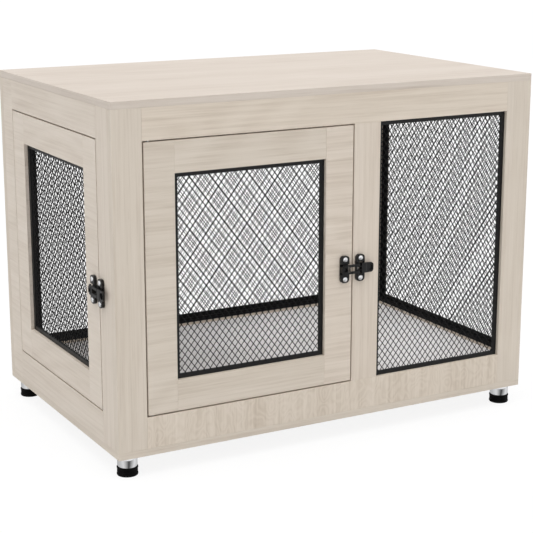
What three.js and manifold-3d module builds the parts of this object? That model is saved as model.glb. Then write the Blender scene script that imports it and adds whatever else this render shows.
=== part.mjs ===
// Dog crate end table: a flat-topped cabinet with wire mesh walls, a door in the front and one in
// the left side, a draw latch on each door, and four levelling feet.
// Millimetres. X runs right along the front, Y back, Z up. The origin is on the floor, at the centre
// of the whole object's outline, latches included.

import * as THREE from 'three';
import { mergeVertices } from 'three/addons/utils/BufferGeometryUtils.js';
import ManifoldModule from 'manifold-3d';

const wasm = await ManifoldModule();
wasm.setup();

// ---- Driving dimensions -------------------------------------------------------------------------

// Cabinet, measured over its boards
const CABINET_WIDTH = 800;
const CABINET_DEPTH = 505;
const CABINET_HEIGHT = 574;
const BOARD = 12; // top and bottom boards
const WALL = 15; // thickness of the four wall frames

// Wall frame members
const POST_WIDTH = 51; // front and back corner posts
const MID_STILE_WIDTH = 51; // between the front door and the fixed mesh window
const SIDE_STILE_WIDTH = 46; // upright members of the left and right walls
const TOP_RAIL_HEIGHT = 51;
const BOTTOM_RAIL_HEIGHT = 53;

// Doors
const FRONT_DOOR_WIDTH = 379;
const DOOR_GAP = 2.5; // all round a closed door
const DOOR_MEMBER = 52; // width of door stiles and rails
const DOOR_THICKNESS = 14.5;
const PIVOT_FROM_EDGE = 9; // hinge axis, in from the door's hinge edge
const PIVOT_FROM_FACE = 5; // hinge axis, in from the door's outer face
const PIVOT_PIN_RADIUS = 2.5;
const PIVOT_PIN_DEPTH = 15; // into the rail, and into the door
const PIN_SEAT_CLEARANCE = 0.05; // radial, where a pin is pressed in
const PIN_RUN_CLEARANCE = 0.1; // radial, where something turns on a pin
const PIN_END_CLEARANCE = 0.5; // past the end of a pin

// Stop strip behind the latch edge of each doorway
const STOP_THICKNESS = 9;
const STOP_ON_FRAME = 12; // width glued to the doorway's member
const STOP_OVER_DOOR = 6; // width that the door closes against
const STOP_LENGTH = 120;

// Floor
const FLOOR_TOP = 52; // above the cabinet's underside
const FLOOR_THICKNESS = 12;
const FLOOR_CLEARANCE = 1; // all round the floor board
const BEARER_WIDTH = 20;

// Mesh windows
const RECESS = 6.5; // from a wall's outer face to the metal frame
const RABBET = 4.5; // step cut round an opening for the metal frame
const PANEL_FIT = 0.5; // gap between metal frame and rabbet
const LIP = 7.5; // metal frame that shows inside the opening
const LIP_THICKNESS = 4;
const FLANGE_STEP = 0.5; // the flange stands this far into the opening
const WIRE = 1.4;
const WIRE_FRONT = 0.8; // from the lip's face to the front layer of wires
const WIRE_LAYER_GAP = 0.2;
const DIAMOND_WIDTH = 22.8;
const DIAMOND_HEIGHT = 28.8;
const SHORTEST_WIRE = 6;
const WIRE_SEAT = 3; // how far a wire runs into the lip

// Draw latch, from the middle of the door gap
const LATCH_HEIGHT = 266; // latch centre above the cabinet's underside
const PLATE_WIDTH = 16.5;
const PLATE_LENGTH = 46.5;
const PLATE_CORNER = 6;
const PLATE_BASE = 1.2;
const LOBE_HEIGHT = 5;
const LOBE_START = 8.8; // lobes begin this far from the latch centre line
const SCREW_SPACING = 34;
const SCREW_HOLE_RADIUS = 2.1;
const DOOR_PLATE_CENTRE = 17; // from the gap, on the door
const POST_PLATE_CENTRE = 13.5; // from the gap, on the post
const POST_WINDOW_START = 11; // the post plate is open under the lever, between these
const POST_WINDOW_END = 20.2;
const POST_WINDOW_HALF = 10.7;
const LEVER_PIN_FROM_GAP = 7.75;
const LEVER_PIN_HEIGHT = 4.2;
const LEVER_PIN_RADIUS = 1;
const LEVER_PIN_HALF_LENGTH = 11.5;
const EAR_RADIUS = 2.6;
const EAR_THICKNESS = 3;
const HUB_RADIUS = 2.6;
const HUB_OFFSET = 0.6; // the hub is a cam, off centre towards the thumb tab
const HOOK_INNER = 3.5; // radii of the bail's hooks about the lever pin
const HOOK_OUTER = 5;
const ARM_INNER = 3.75; // the bail's arms lie between these distances from the centre line
const ARM_OUTER = 8.1;
const BAIL_PIN_FROM_GAP = 21;
const BAIL_PIN_HEIGHT = 7;
const BAIL_PIN_RADIUS = 1.4;
const BAIL_EYE_RADIUS = 2.2;
const BAIL_PIN_INNER = 4.1; // the bail's two pins begin this far from the centre line
const ARM_SLIM_INNER = 5.45; // beside the housing the arms begin here
const BAIL_BRIDGE_START = 10.9; // a bridge joins the arms, between these distances from the gap
const BAIL_BRIDGE_END = 8.9;
const HOUSING_NEAR = 11.6; // the door plate's housing, between these distances from the gap
const HOUSING_FAR = 24.6;
const HOUSING_TOP = 10;
const HOUSING_HALF_WIDTH = 5.2;
const HOUSING_CORNER = 3;
const HOUSING_HOLE_INNER = 3.9; // its two holes for the bail's pins begin here
const HOUSING_DISH_FROM_GAP = 18.4;
const HOUSING_DISH_RADIUS = 3.9;
const HOUSING_DISH_DEPTH = 3.5;
const LEVER_HALF_WIDTH = 8.5;
const WEB_HALF_WIDTH = 3.4;
const SLOT_HALF_WIDTH = 2.4; // the slot between the web's two cheeks
const LEVER_BLOCK_START = 5.4; // from the lever pin
const LEVER_BLOCK_END = 21.5; // from the gap
const LEVER_TIP = 36.25; // from the gap
const LEVER_TOP = 9.75;
const LEVER_UNDERSIDE = 2;
const TAB_UNDERSIDE = 6;
const TAB_TOP = 9.2;
const TAB_CORNER = 5;
const TAB_RIM = 0.6; // how far the tip curls up at its edge
const LEVER_SLOPE = 2; // run of each sloping face on the lever
const THUMB_DISH_RADIUS = 5.6;
const THUMB_DISH_DEPTH = 2.3;

// Feet
const FOOT_INSET = 25; // from each side of the cabinet to a foot's axis
const TUBE_LENGTH = 19.5;
const TUBE_RADIUS = 16.5;
const TUBE_WALL = 1.5;
const TUBE_CAP = 3;
const BOSS_RADIUS = 8;
const BOSS_SETBACK = 3; // boss mouth above the tube's rim
const PAD_HEIGHT = 15;
const PAD_RADIUS = 17.5;
const PAD_WAIST = 16.4; // radius between its two bands
const PAD_CHAMFER = 1.5;
const PAD_LOWER_BAND = 4;
const PAD_UPPER_BAND = 2.5;
const PAD_FLARE = 2.5; // height of the slope up to the upper band
const STEM_RADIUS = 4;
const STEM_CLEARANCE = 0.3;
const STEM_LENGTH = 16;

const SMALL_ARC = 4; // facets in a quarter turn of a latch part
const ROUND_FACETS = 20;
const PIN_FACETS = 16;
const CUT_OVER = 1; // how far a cutter passes the face it cuts

// ---- Worked out from the driving dimensions -------------------------------------------------------

const STAND_HEIGHT = TUBE_LENGTH + PAD_HEIGHT;
const WALL_BOTTOM = BOARD;
const WALL_TOP = CABINET_HEIGHT - BOARD;
const OPENING_BOTTOM = WALL_BOTTOM + BOTTOM_RAIL_HEIGHT;
const OPENING_TOP = WALL_TOP - TOP_RAIL_HEIGHT;
const SIDE_WALL_WIDTH = CABINET_DEPTH - 2 * WALL;

// ---- Materials ------------------------------------------------------------------------------------

const oak = new THREE.MeshStandardMaterial({ color: 0xd1c7b8, roughness: 0.55, metalness: 0 });
const floorGrey = new THREE.MeshStandardMaterial({ color: 0xd2d0d0, roughness: 0.5, metalness: 0 });
const blackSteel = new THREE.MeshStandardMaterial({ color: 0x1e1e20, roughness: 0.5, metalness: 0.4 });
const latchBlack = new THREE.MeshStandardMaterial({ color: 0x191a1c, roughness: 0.4, metalness: 0.6 });
const chrome = new THREE.MeshStandardMaterial({ color: 0xd8dadc, roughness: 0.1, metalness: 1 });
const pinSteel = new THREE.MeshStandardMaterial({ color: 0x9a9ca0, roughness: 0.35, metalness: 1 });
const padBlack = new THREE.MeshStandardMaterial({ color: 0x141414, roughness: 0.7, metalness: 0 });

// ---- Solids ---------------------------------------------------------------------------------------

function solidOf(geometry) {
  const bare = geometry.clone();
  bare.deleteAttribute('normal');
  bare.deleteAttribute('uv');
  const merged = mergeVertices(bare, 1e-4);
  const vertProperties = new Float32Array(merged.attributes.position.array);
  const triVerts = new Uint32Array(merged.index.array);
  return new wasm.Manifold(new wasm.Mesh({ numProp: 3, vertProperties, triVerts }));
}

function geometryOf(solid) {
  const mesh = solid.getMesh();
  const geometry = new THREE.BufferGeometry();
  geometry.setAttribute('position', new THREE.BufferAttribute(mesh.vertProperties, 3));
  geometry.setIndex(new THREE.BufferAttribute(mesh.triVerts, 1));
  const flat = geometry.toNonIndexed();
  flat.computeVertexNormals();
  return flat;
}

function cut(geometry, cutters) {
  const solid = cutters.reduce((left, cutter) => left.subtract(solidOf(cutter)), solidOf(geometry));
  return geometryOf(solid);
}

function join(geometries) {
  const [first, ...rest] = geometries.map(solidOf);
  return geometryOf(rest.reduce((whole, piece) => whole.add(piece), first));
}

// A box given by its lowest and highest corners.
function boxBetween(low, high) {
  const [width, depth, height] = high.map((value, i) => value - low[i]);
  const box = new THREE.BoxGeometry(width, depth, height);
  return box.translate(low[0] + width / 2, low[1] + depth / 2, low[2] + height / 2);
}

// A cylinder standing along Z, from z0 to z1.
function rodUp(radius, x, y, z0, z1, facets = PIN_FACETS) {
  const rod = new THREE.CylinderGeometry(radius, radius, z1 - z0, facets);
  return rod.rotateX(Math.PI / 2).translate(x, y, (z0 + z1) / 2);
}

// A cylinder lying along Y, centred on y = 0.
function rodAcross(radius, x, z, halfLength, facets = PIN_FACETS) {
  return new THREE.CylinderGeometry(radius, radius, 2 * halfLength, facets).translate(x, 0, z);
}

// A profile drawn in X and Z, drawn out along Y from y0 to y1.
function profileAcross(shape, y0, y1) {
  const options = { depth: y1 - y0, bevelEnabled: false, curveSegments: SMALL_ARC };
  return new THREE.ExtrudeGeometry(shape, options).rotateX(Math.PI / 2).translate(0, y1, 0);
}

// A plan drawn in X and Y, drawn out along Z from z0 to z1.
function planUp(shape, z0, z1) {
  const options = { depth: z1 - z0, bevelEnabled: false, curveSegments: SMALL_ARC };
  return new THREE.ExtrudeGeometry(shape, options).translate(0, 0, z0);
}

function roundedRectangle(x0, x1, y0, y1, radius) {
  const shape = new THREE.Shape();
  shape.moveTo(x0 + radius, y0);
  shape.lineTo(x1 - radius, y0);
  shape.absarc(x1 - radius, y0 + radius, radius, -Math.PI / 2, 0, false);
  shape.lineTo(x1, y1 - radius);
  shape.absarc(x1 - radius, y1 - radius, radius, 0, Math.PI / 2, false);
  shape.lineTo(x0 + radius, y1);
  shape.absarc(x0 + radius, y1 - radius, radius, Math.PI / 2, Math.PI, false);
  shape.lineTo(x0, y0 + radius);
  shape.absarc(x0 + radius, y0 + radius, radius, Math.PI, 1.5 * Math.PI, false);
  return shape;
}

function polygon(points) {
  return new THREE.Shape(points.map(([x, y]) => new THREE.Vector2(x, y)));
}

// A solid of revolution about Z. The profile is [radius, height] points, its outside running upward.
function turned(profile, facets = ROUND_FACETS) {
  const points = profile.map(([radius, height]) => new THREE.Vector2(radius, height));
  return new THREE.LatheGeometry(points, facets).rotateX(Math.PI / 2);
}

function add(parent, name, geometry, material) {
  const mesh = new THREE.Mesh(geometry, material.clone());
  mesh.name = name;
  parent.add(mesh);
  return mesh;
}

// ---- Boards and floor -----------------------------------------------------------------------------

const object = new THREE.Group();

const cabinet = new THREE.Group();
cabinet.position.set(HOUSING_TOP / 2, HOUSING_TOP / 2, STAND_HEIGHT);
object.add(cabinet);

const halfWidth = CABINET_WIDTH / 2;
const halfDepth = CABINET_DEPTH / 2;

function board(name, z0) {
  const low = [-halfWidth, -halfDepth, z0];
  const high = [halfWidth, halfDepth, z0 + BOARD];
  add(cabinet, name, boxBetween(low, high), oak);
}

function addFloor() {
  const x = halfWidth - WALL - FLOOR_CLEARANCE;
  const y = halfDepth - WALL - FLOOR_CLEARANCE;
  const underside = FLOOR_TOP - FLOOR_THICKNESS;
  add(cabinet, 'floor_panel', boxBetween([-x, -y, underside], [x, y, FLOOR_TOP]), floorGrey);
  for (const [name, side] of [['floor_bearer_front', -1], ['floor_bearer_rear', 1]]) {
    const outer = side * (halfDepth - WALL);
    const inner = outer - side * BEARER_WIDTH;
    const low = [-x, Math.min(inner, outer), BOARD];
    const high = [x, Math.max(inner, outer), underside];
    add(cabinet, name, boxBetween(low, high), oak);
  }
}

board('bottom_board', 0);
board('top_board', CABINET_HEIGHT - BOARD);
addFloor();

// ---- Wall frames ----------------------------------------------------------------------------------
// Each wall is a group of its own. In it X runs right as seen from outside, centred on the wall, Y
// runs inward from the outer face, and Z runs up from the cabinet's underside.

function wallGroup(x, y, turn) {
  const wall = new THREE.Group();
  wall.position.set(x, y, 0);
  wall.rotation.z = turn;
  cabinet.add(wall);
  return wall;
}

const frontWall = wallGroup(0, -halfDepth, 0);
const rightWall = wallGroup(halfWidth, 0, Math.PI / 2);
const backWall = wallGroup(0, halfDepth, Math.PI);
const leftWall = wallGroup(-halfWidth, 0, -Math.PI / 2);

function member(wall, name, x0, x1, z0, z1, cutters = []) {
  const plain = boxBetween([x0, 0, z0], [x1, WALL, z1]);
  add(wall, name, cutters.length ? cut(plain, cutters) : plain, oak);
}

// The step round the inside of a mesh window, which the metal frame sits in.
function rabbetCutter(x0, x1, z0, z1, thickness) {
  const low = [x0 - RABBET, RECESS, z0 - RABBET];
  return boxBetween(low, [x1 + RABBET, thickness + CUT_OVER, z1 + RABBET]);
}

function ringShape(outer, inner) {
  const shape = polygon([
    [outer.x0, outer.z0],
    [outer.x1, outer.z0],
    [outer.x1, outer.z1],
    [outer.x0, outer.z1],
  ]);
  const hole = new THREE.Path();
  hole.moveTo(inner.x0, inner.z0);
  hole.lineTo(inner.x0, inner.z1);
  hole.lineTo(inner.x1, inner.z1);
  hole.lineTo(inner.x1, inner.z0);
  hole.closePath();
  shape.holes.push(hole);
  return shape;
}

function grown(box, by) {
  return { x0: box.x0 - by, x1: box.x1 + by, z0: box.z0 - by, z1: box.z1 + by };
}

// The part of a slanted line that crosses a window, as its two ends, or null.
function acrossWindow(window, offset, slope) {
  const xs = [window.x0, window.x1];
  for (const z of [window.z0, window.z1]) xs.push((z - offset) / slope);
  const inside = xs.filter((x) => {
    const z = offset + slope * x;
    const slack = 1e-9;
    return x >= window.x0 - slack && x <= window.x1 + slack
      && z >= window.z0 - slack && z <= window.z1 + slack;
  });
  if (inside.length < 2) return null;
  const a = Math.min(...inside);
  const b = Math.max(...inside);
  return { x0: a, z0: offset + slope * a, x1: b, z1: offset + slope * b };
}

// One layer of parallel wires over a window. Lean is 1 or -1, and depth is the layer's middle.
function wireLayer(window, lean, depth) {
  const slope = (lean * DIAMOND_HEIGHT) / DIAMOND_WIDTH;
  const middleX = (window.x0 + window.x1) / 2;
  const middleZ = (window.z0 + window.z1) / 2;
  const diamondsAcross = (window.x1 - window.x0) / DIAMOND_WIDTH;
  const diamondsUp = (window.z1 - window.z0) / DIAMOND_HEIGHT;
  const count = Math.ceil((diamondsAcross + diamondsUp) / 2);
  const wires = [];
  for (let i = -count; i <= count; i += 1) {
    const offset = middleZ - slope * middleX + (i + 0.5) * DIAMOND_HEIGHT;
    const line = acrossWindow(window, offset, slope);
    if (!line) continue;
    const run = Math.hypot(line.x1 - line.x0, line.z1 - line.z0);
    if (run < SHORTEST_WIRE) continue;
    const wire = new THREE.BoxGeometry(run + 2 * WIRE_SEAT, WIRE, WIRE);
    wire.rotateY(-Math.atan2(line.z1 - line.z0, line.x1 - line.x0));
    wire.translate((line.x0 + line.x1) / 2, depth, (line.z0 + line.z1) / 2);
    wires.push(wire);
  }
  return wires;
}

// A metal frame with an L section and two layers of crossing wires, for one window of a wall or door.
function meshPanel(group, name, opening, thickness) {
  const window = grown(opening, -LIP);
  const rim = grown(opening, RABBET - PANEL_FIT);
  const lip = profileAcross(ringShape(rim, window), RECESS, RECESS + LIP_THICKNESS);
  const flange = profileAcross(ringShape(rim, grown(opening, -FLANGE_STEP)), RECESS, thickness);
  const front = RECESS + WIRE_FRONT + WIRE / 2;
  const rear = front + WIRE + WIRE_LAYER_GAP;
  const wires = [...wireLayer(window, -1, front), ...wireLayer(window, 1, rear)];
  add(group, name, join([lip, flange, ...wires]), blackSteel);
}

function windowCutters(opening, thickness) {
  return [rabbetCutter(opening.x0, opening.x1, opening.z0, opening.z1, thickness)];
}

// ---- Doors ----------------------------------------------------------------------------------------

// Doors are hinged on their left edge as seen from outside: pins in the rails above and below.
function pivotOf(doorway) {
  return { x: doorway.x0 + DOOR_GAP + PIVOT_FROM_EDGE, y: PIVOT_FROM_FACE };
}

function pinHole(pivot, clearance, z0, z1) {
  return rodUp(PIVOT_PIN_RADIUS + clearance, pivot.x, pivot.y, z0, z1);
}

function railPinHoles(doorway) {
  const pivot = pivotOf(doorway);
  const depth = PIVOT_PIN_DEPTH + PIN_END_CLEARANCE;
  const top = pinHole(pivot, PIN_SEAT_CLEARANCE, doorway.z1 - CUT_OVER, doorway.z1 + depth);
  const bottom = pinHole(pivot, PIN_SEAT_CLEARANCE, doorway.z0 - depth, doorway.z0 + CUT_OVER);
  return { top: [top], bottom: [bottom] };
}

function addDoor(wall, name, doorway) {
  const x0 = doorway.x0 + DOOR_GAP;
  const x1 = doorway.x1 - DOOR_GAP;
  const z0 = doorway.z0 + DOOR_GAP;
  const z1 = doorway.z1 - DOOR_GAP;
  const opening = {
    x0: x0 + DOOR_MEMBER,
    x1: x1 - DOOR_MEMBER,
    z0: z0 + DOOR_MEMBER,
    z1: z1 - DOOR_MEMBER,
  };
  const pivot = pivotOf(doorway);
  const rabbet = windowCutters(opening, DOOR_THICKNESS);
  const holeDepth = PIVOT_PIN_DEPTH + PIN_END_CLEARANCE;
  const pinHoles = [
    pinHole(pivot, PIN_RUN_CLEARANCE, z0 - CUT_OVER, z0 + holeDepth),
    pinHole(pivot, PIN_RUN_CLEARANCE, z1 - holeDepth, z1 + CUT_OVER),
  ];
  const doorMember = (part, a, b, c, d, cutters) => {
    const plain = boxBetween([a, 0, c], [b, DOOR_THICKNESS, d]);
    add(wall, `${name}_${part}`, cut(plain, cutters), oak);
  };
  doorMember('hinge_stile', x0, opening.x0, z0, z1, [...rabbet, ...pinHoles]);
  doorMember('latch_stile', opening.x1, x1, z0, z1, rabbet);
  doorMember('top_rail', opening.x0, opening.x1, opening.z1, z1, rabbet);
  doorMember('bottom_rail', opening.x0, opening.x1, z0, opening.z0, rabbet);
  meshPanel(wall, `${name}_mesh_panel`, opening, DOOR_THICKNESS);
  const pinLength = 2 * PIVOT_PIN_DEPTH + DOOR_GAP;
  const pins = [['top', z1 - PIVOT_PIN_DEPTH], ['bottom', doorway.z0 - PIVOT_PIN_DEPTH]];
  for (const [end, low] of pins) {
    const pin = rodUp(PIVOT_PIN_RADIUS, pivot.x, pivot.y, low, low + pinLength);
    add(wall, `${name}_${end}_pin`, pin, pinSteel);
  }
  const stopHalf = STOP_LENGTH / 2;
  const stopLow = [x1 - STOP_OVER_DOOR, WALL, LATCH_HEIGHT - stopHalf];
  const stopHigh = [doorway.x1 + STOP_ON_FRAME, WALL + STOP_THICKNESS, LATCH_HEIGHT + stopHalf];
  add(wall, `${name}_stop`, boxBetween(stopLow, stopHigh), oak);
}

// ---- Draw latch -----------------------------------------------------------------------------------
// In a latch's own group X runs from the door towards the post, measured from the middle of the door
// gap, Y runs up, and Z runs out from the wood.

// A rounded base with a lobe at each end for its screw, plus extras, less holes.
function plateGeometry(centreX, extras, holes) {
  const x0 = centreX - PLATE_WIDTH / 2;
  const x1 = centreX + PLATE_WIDTH / 2;
  const half = PLATE_LENGTH / 2;
  const outline = roundedRectangle(x0, x1, -half, half, PLATE_CORNER);
  const between = boxBetween(
    [x0 - CUT_OVER, -LOBE_START, -CUT_OVER],
    [x1 + CUT_OVER, LOBE_START, LOBE_HEIGHT + CUT_OVER],
  );
  const lobes = cut(planUp(outline, 0, LOBE_HEIGHT), [between]);
  const screwHoles = [-1, 1].map((side) => {
    const y = (side * SCREW_SPACING) / 2;
    return rodUp(SCREW_HOLE_RADIUS, centreX, y, -CUT_OVER, LOBE_HEIGHT + CUT_OVER);
  });
  return cut(join([planUp(outline, 0, PLATE_BASE), lobes, ...extras]), [...screwHoles, ...holes]);
}

// Two short rods on one line across the latch, one on each side of the centre line.
function rodPair(radius, x, z, inner, outer) {
  return [-1, 1].map((side) => {
    const rod = new THREE.CylinderGeometry(radius, radius, outer - inner, PIN_FACETS);
    return rod.translate(x, (side * (inner + outer)) / 2, z);
  });
}

// A housing across the door plate, with a hole in each side for the bail's pins and a dished top.
function housingGeometry() {
  const x0 = -HOUSING_FAR;
  const x1 = -HOUSING_NEAR;
  const corner = HOUSING_CORNER;
  const shape = new THREE.Shape();
  shape.moveTo(x0, 0);
  shape.lineTo(x1, 0);
  shape.lineTo(x1, HOUSING_TOP - corner);
  shape.absarc(x1 - corner, HOUSING_TOP - corner, corner, 0, Math.PI / 2, false);
  shape.lineTo(x0 + corner, HOUSING_TOP);
  shape.absarc(x0 + corner, HOUSING_TOP - corner, corner, Math.PI / 2, Math.PI, false);
  shape.closePath();
  const block = profileAcross(shape, -HOUSING_HALF_WIDTH, HOUSING_HALF_WIDTH);
  const bore = BAIL_PIN_RADIUS + PIN_RUN_CLEARANCE;
  const outer = HOUSING_HALF_WIDTH + CUT_OVER;
  const holes = rodPair(bore, -BAIL_PIN_FROM_GAP, BAIL_PIN_HEIGHT, HOUSING_HOLE_INNER, outer);
  const dishFloor = HOUSING_TOP - HOUSING_DISH_DEPTH;
  const dishTop = HOUSING_TOP + CUT_OVER;
  const dish = rodUp(HOUSING_DISH_RADIUS, -HOUSING_DISH_FROM_GAP, 0, dishFloor, dishTop, ROUND_FACETS);
  return cut(block, [...holes, dish]);
}

// An ear that carries one end of the lever pin.
function earShape() {
  const x = LEVER_PIN_FROM_GAP;
  const shape = new THREE.Shape();
  shape.moveTo(x - EAR_RADIUS, 0);
  shape.lineTo(x + EAR_RADIUS, 0);
  shape.lineTo(x + EAR_RADIUS, LEVER_PIN_HEIGHT);
  shape.absarc(x, LEVER_PIN_HEIGHT, EAR_RADIUS, 0, Math.PI, false);
  shape.closePath();
  return shape;
}

// The bail from the side: an eye round its pins, a straight strap and a hook over the lever's hub.
function bailShape() {
  const pinX = LEVER_PIN_FROM_GAP;
  const pinZ = LEVER_PIN_HEIGHT;
  const eyeX = -BAIL_PIN_FROM_GAP;
  const strapLow = pinZ + HOOK_INNER;
  const eyeMeets = Math.asin((strapLow - BAIL_PIN_HEIGHT) / BAIL_EYE_RADIUS);
  const shape = new THREE.Shape();
  shape.moveTo(eyeX, BAIL_PIN_HEIGHT + BAIL_EYE_RADIUS);
  shape.absarc(eyeX, BAIL_PIN_HEIGHT, BAIL_EYE_RADIUS, Math.PI / 2, 2 * Math.PI + eyeMeets, false);
  shape.lineTo(pinX, strapLow);
  shape.absarc(pinX, pinZ, HOOK_INNER, Math.PI / 2, 0, true);
  shape.lineTo(pinX + HOOK_OUTER, pinZ);
  shape.absarc(pinX, pinZ, HOOK_OUTER, 0, Math.PI / 2, false);
  shape.closePath();
  return shape;
}

// Two arms that are slim beside the housing, joined by a bridge, with a pin inward from each eye.
function bailGeometry() {
  const whole = profileAcross(bailShape(), -ARM_OUTER, ARM_OUTER);
  const low = -CUT_OVER;
  const high = HOUSING_TOP + CUT_OVER;
  const farEnd = -BAIL_PIN_FROM_GAP - BAIL_EYE_RADIUS - CUT_OVER;
  const hookEnd = LEVER_PIN_FROM_GAP + HOOK_OUTER + CUT_OVER;
  const atHousing = boxBetween(
    [farEnd, -ARM_SLIM_INNER, low],
    [-BAIL_BRIDGE_START, ARM_SLIM_INNER, high],
  );
  const betweenArms = boxBetween([-BAIL_BRIDGE_END, -ARM_INNER, low], [hookEnd, ARM_INNER, high]);
  const arms = cut(whole, [atHousing, betweenArms]);
  const pinX = -BAIL_PIN_FROM_GAP;
  return join([arms, ...rodPair(BAIL_PIN_RADIUS, pinX, BAIL_PIN_HEIGHT, BAIL_PIN_INNER, ARM_OUTER)]);
}

// A cam hub on the pin, a slotted web, a wide block and a thumb tab with a dished top.
function leverGeometry() {
  const pinX = LEVER_PIN_FROM_GAP;
  const blockX = pinX + LEVER_BLOCK_START;
  const shoulder = LEVER_BLOCK_END;
  const head = [
    [shoulder, LEVER_TOP],
    [shoulder + LEVER_SLOPE, TAB_TOP],
    [LEVER_TIP - LEVER_SLOPE, TAB_TOP],
    [LEVER_TIP, TAB_TOP + TAB_RIM],
    [LEVER_TIP, TAB_UNDERSIDE + TAB_RIM],
    [LEVER_TIP - LEVER_SLOPE, TAB_UNDERSIDE],
    [shoulder, TAB_UNDERSIDE],
    [shoulder - LEVER_SLOPE, LEVER_UNDERSIDE],
  ];
  const webOutline = polygon([
    [pinX, LEVER_UNDERSIDE],
    [pinX, LEVER_TOP - LEVER_SLOPE],
    [pinX + LEVER_SLOPE, LEVER_TOP],
    ...head,
  ]);
  const blockOutline = polygon([[blockX, LEVER_UNDERSIDE], [blockX, LEVER_TOP], ...head]);
  const web = profileAcross(webOutline, -WEB_HALF_WIDTH, WEB_HALF_WIDTH);
  const block = profileAcross(blockOutline, -LEVER_HALF_WIDTH, LEVER_HALF_WIDTH);
  const planStart = pinX - 2 * TAB_CORNER; // behind the web, so only the tip's corners are rounded
  const plan = roundedRectangle(
    planStart, LEVER_TIP, -LEVER_HALF_WIDTH, LEVER_HALF_WIDTH, TAB_CORNER,
  );
  const rounded = solidOf(planUp(plan, -CUT_OVER, LEVER_TOP + CUT_OVER));
  const body = geometryOf(solidOf(web).add(solidOf(block)).intersect(rounded));
  const hubX = pinX + HUB_OFFSET;
  const hub = rodAcross(HUB_RADIUS, hubX, LEVER_PIN_HEIGHT, LEVER_HALF_WIDTH, ROUND_FACETS);
  const dishX = (shoulder + LEVER_SLOPE + LEVER_TIP) / 2;
  const dishFloor = TAB_TOP - THUMB_DISH_DEPTH;
  const dishTop = LEVER_TOP + CUT_OVER;
  const dish = rodUp(THUMB_DISH_RADIUS, dishX, 0, dishFloor, dishTop, ROUND_FACETS);
  const bore = LEVER_PIN_RADIUS + PIN_RUN_CLEARANCE;
  const hole = rodAcross(bore, pinX, LEVER_PIN_HEIGHT, LEVER_HALF_WIDTH + CUT_OVER);
  const slot = boxBetween([planStart, -SLOT_HALF_WIDTH, -CUT_OVER], [blockX, SLOT_HALF_WIDTH, dishTop]);
  return cut(join([body, hub]), [dish, hole, slot]);
}

// One latch, for a door hinged on its left: its group sits over the right-hand door gap.
function addLatch(wall, name, gapX) {
  const latch = new THREE.Group();
  latch.position.set(gapX, 0, LATCH_HEIGHT);
  latch.rotation.x = Math.PI / 2;
  wall.add(latch);
  const doorPlate = plateGeometry(-DOOR_PLATE_CENTRE, [housingGeometry()], []);
  add(latch, `${name}_door_plate`, doorPlate, latchBlack);
  const ears = [
    profileAcross(earShape(), LOBE_START, LOBE_START + EAR_THICKNESS),
    profileAcross(earShape(), -LOBE_START - EAR_THICKNESS, -LOBE_START),
  ];
  const seat = LEVER_PIN_RADIUS + PIN_SEAT_CLEARANCE;
  const holeHalf = LEVER_PIN_HALF_LENGTH + PIN_END_CLEARANCE;
  const hole = rodAcross(seat, LEVER_PIN_FROM_GAP, LEVER_PIN_HEIGHT, holeHalf);
  const window = boxBetween(
    [POST_WINDOW_START, -POST_WINDOW_HALF, -CUT_OVER],
    [POST_WINDOW_END, POST_WINDOW_HALF, LOBE_HEIGHT + CUT_OVER],
  );
  const postPlate = plateGeometry(POST_PLATE_CENTRE, ears, [hole, window]);
  add(latch, `${name}_post_plate`, postPlate, latchBlack);
  add(latch, `${name}_bail`, bailGeometry(), latchBlack);
  add(latch, `${name}_lever`, leverGeometry(), latchBlack);
  const pinHalf = LEVER_PIN_HALF_LENGTH;
  const pin = rodAcross(LEVER_PIN_RADIUS, LEVER_PIN_FROM_GAP, LEVER_PIN_HEIGHT, pinHalf);
  add(latch, `${name}_lever_pin`, pin, pinSteel);
}

// ---- The four walls -------------------------------------------------------------------------------

function between(x0, x1) {
  return { x0, x1, z0: OPENING_BOTTOM, z1: OPENING_TOP };
}

function buildFrontWall() {
  const left = -halfWidth + POST_WIDTH;
  const right = halfWidth - POST_WIDTH;
  const doorway = between(left, left + FRONT_DOOR_WIDTH + 2 * DOOR_GAP);
  const opening = between(doorway.x1 + MID_STILE_WIDTH, right);
  const rabbet = windowCutters(opening, WALL);
  const pinHoles = railPinHoles(doorway);
  const topCutters = [...rabbet, ...pinHoles.top];
  const bottomCutters = [...rabbet, ...pinHoles.bottom];
  member(frontWall, 'front_left_post', -halfWidth, left, WALL_BOTTOM, WALL_TOP);
  member(frontWall, 'front_right_post', right, halfWidth, WALL_BOTTOM, WALL_TOP, rabbet);
  member(frontWall, 'front_top_rail', left, right, OPENING_TOP, WALL_TOP, topCutters);
  member(frontWall, 'front_bottom_rail', left, right, WALL_BOTTOM, OPENING_BOTTOM, bottomCutters);
  member(frontWall, 'front_mid_stile', doorway.x1, opening.x0, OPENING_BOTTOM, OPENING_TOP, rabbet);
  meshPanel(frontWall, 'front_mesh_panel', opening, WALL);
  addDoor(frontWall, 'front_door', doorway);
  addLatch(frontWall, 'front_latch', doorway.x1 - DOOR_GAP / 2);
}

function buildLeftWall() {
  const half = SIDE_WALL_WIDTH / 2;
  const left = -half + SIDE_STILE_WIDTH;
  const right = half - SIDE_STILE_WIDTH;
  const doorway = between(left, right);
  const pinHoles = railPinHoles(doorway);
  member(leftWall, 'left_rear_stile', -half, left, WALL_BOTTOM, WALL_TOP);
  member(leftWall, 'left_front_stile', right, half, WALL_BOTTOM, WALL_TOP);
  member(leftWall, 'left_top_rail', left, right, OPENING_TOP, WALL_TOP, pinHoles.top);
  member(leftWall, 'left_bottom_rail', left, right, WALL_BOTTOM, OPENING_BOTTOM, pinHoles.bottom);
  addDoor(leftWall, 'side_door', doorway);
  addLatch(leftWall, 'side_latch', doorway.x1 - DOOR_GAP / 2);
}

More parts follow.
